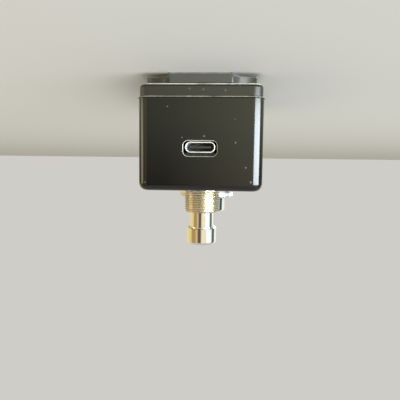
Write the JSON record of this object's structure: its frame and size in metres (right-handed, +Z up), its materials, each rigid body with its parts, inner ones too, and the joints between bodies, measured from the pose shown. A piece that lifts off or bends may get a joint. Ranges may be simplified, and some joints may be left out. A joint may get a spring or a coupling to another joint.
{
  "type": "bluetooth audio receiver",
  "caption": "Pocket-size bluetooth audio receiver in a small pedal housing, with a footswitch, level knob, USB-C charging socket and 6.35 mm output sockets",
  "frame": {"origin": "centre of the footprint on the surface that the base pad stands on", "axes": "+Z up through the footswitch face; the length runs along Y, with the USB-C end facing -Y and the level knob toward +Y; +X is the side of the right-hand output socket when the USB-C end faces the viewer"},
  "size_m": [0.0438, 0.094, 0.0547],
  "materials": {
    "gloss_paint": "smooth semi-gloss black paint on die-cast metal, with dust specks and fine scratches",
    "cover_satin_black": "satin black moulded cover",
    "pad_rubber": "smooth semi-gloss black rubber",
    "nickel_plate": "bright nickel plate with machining marks",
    "polished_chrome": "polished chrome plate, light handling marks",
    "spring_steel": "plain steel",
    "moulded_black": "black moulded plastic",
    "moulded_white": "off-white moulded plastic",
    "turned_aluminium": "turned aluminium with concentric marks",
    "black_screw": "black zinc-plated steel",
    "led_lens": "clear tinted lens",
    "socket_steel": "drawn stainless shell",
    "circuit_board": "green solder mask",
    "tinned_can": "tinned sheet and aluminium cans",
    "foam_tape": "grey foam tape",
    "cell_pouch": "laminated foil pouch",
    "lead_red": "red insulation",
    "lead_black": "black insulation",
    "contact_brass": "brass contact strip"
  },
  "bodies": {
    "housing": {"enclosure_body": "gloss_paint", "base_cover": "cover_satin_black", "base_pad": "pad_rubber", "cover_screw_1": "black_screw", "cover_screw_2": "black_screw", "cover_screw_3": "black_screw", "cover_screw_4": "black_screw", "footswitch_bushing": "nickel_plate", "footswitch_washer": "spring_steel", "footswitch_nut": "nickel_plate", "footswitch_spring": "spring_steel", "tact_switch_base": "moulded_black", "level_pot_housing": "moulded_black", "level_pot_bushing": "nickel_plate", "level_pot_washer": "nickel_plate", "level_pot_nut": "nickel_plate", "status_led_bezel": "nickel_plate", "status_led": "led_lens", "usb_c_shell": "socket_steel", "usb_c_tongue": "moulded_black", "jack_right_housing": "moulded_black", "jack_right_bushing": "nickel_plate", "jack_right_washer": "nickel_plate", "jack_right_nut": "nickel_plate", "jack_right_tip_contact": "contact_brass", "jack_left_housing": "moulded_black", "jack_left_bushing": "nickel_plate", "jack_left_washer": "nickel_plate", "jack_left_nut": "nickel_plate", "jack_left_tip_contact": "contact_brass", "main_board": "circuit_board", "board_screw_1": "spring_steel", "board_screw_2": "spring_steel", "board_screw_3": "spring_steel", "board_screw_4": "spring_steel", "bluetooth_module_board": "circuit_board", "bluetooth_shield_can": "tinned_can", "bluetooth_antenna": "moulded_white", "audio_codec_chip": "moulded_black", "output_amplifier_chip": "moulded_black", "battery_charger_chip": "moulded_black", "clock_crystal": "tinned_can", "output_capacitor_1": "tinned_can", "output_capacitor_2": "tinned_can", "battery_foam_tape": "foam_tape", "battery_cell": "cell_pouch", "battery_protection_board": "circuit_board", "battery_header": "moulded_white", "battery_plug": "moulded_white", "battery_lead_positive": "lead_red", "battery_lead_negative": "lead_black"},
    "footswitch_plunger": {"footswitch_plunger": "polished_chrome", "footswitch_clip": "spring_steel"},
    "tact_button": {"tact_switch_button": "moulded_white"},
    "level_knob": {"level_pot_shaft": "turned_aluminium", "level_knob_skirt": "turned_aluminium", "level_knob_grip": "polished_chrome", "level_knob_pointer": "moulded_black", "level_knob_set_screw": "black_screw"}
  },
  "joints": [
    {"name": "footswitch_press", "type": "slide", "parent": "housing", "child": "footswitch_plunger", "axis": [0, 0, -1], "range_m": [0, 0.002], "stiffness_N_per_m": 1200, "springref_m": -0.0015, "deforming": ["footswitch_spring"]},
    {"name": "tact_button_press", "type": "slide", "parent": "housing", "child": "tact_button", "axis": [0, 0, -1], "range_m": [0, 0.00025]},
    {"name": "level_turn", "type": "hinge", "parent": "housing", "child": "level_knob", "pos_m": [0, 0.014, 0.036], "axis": [0, 0, 1], "range_deg": [-150, 150]}
  ],
  "couplings": [
    {"joint": "tact_button_press", "follows": "footswitch_press", "ratio": 0.125}
  ]
}
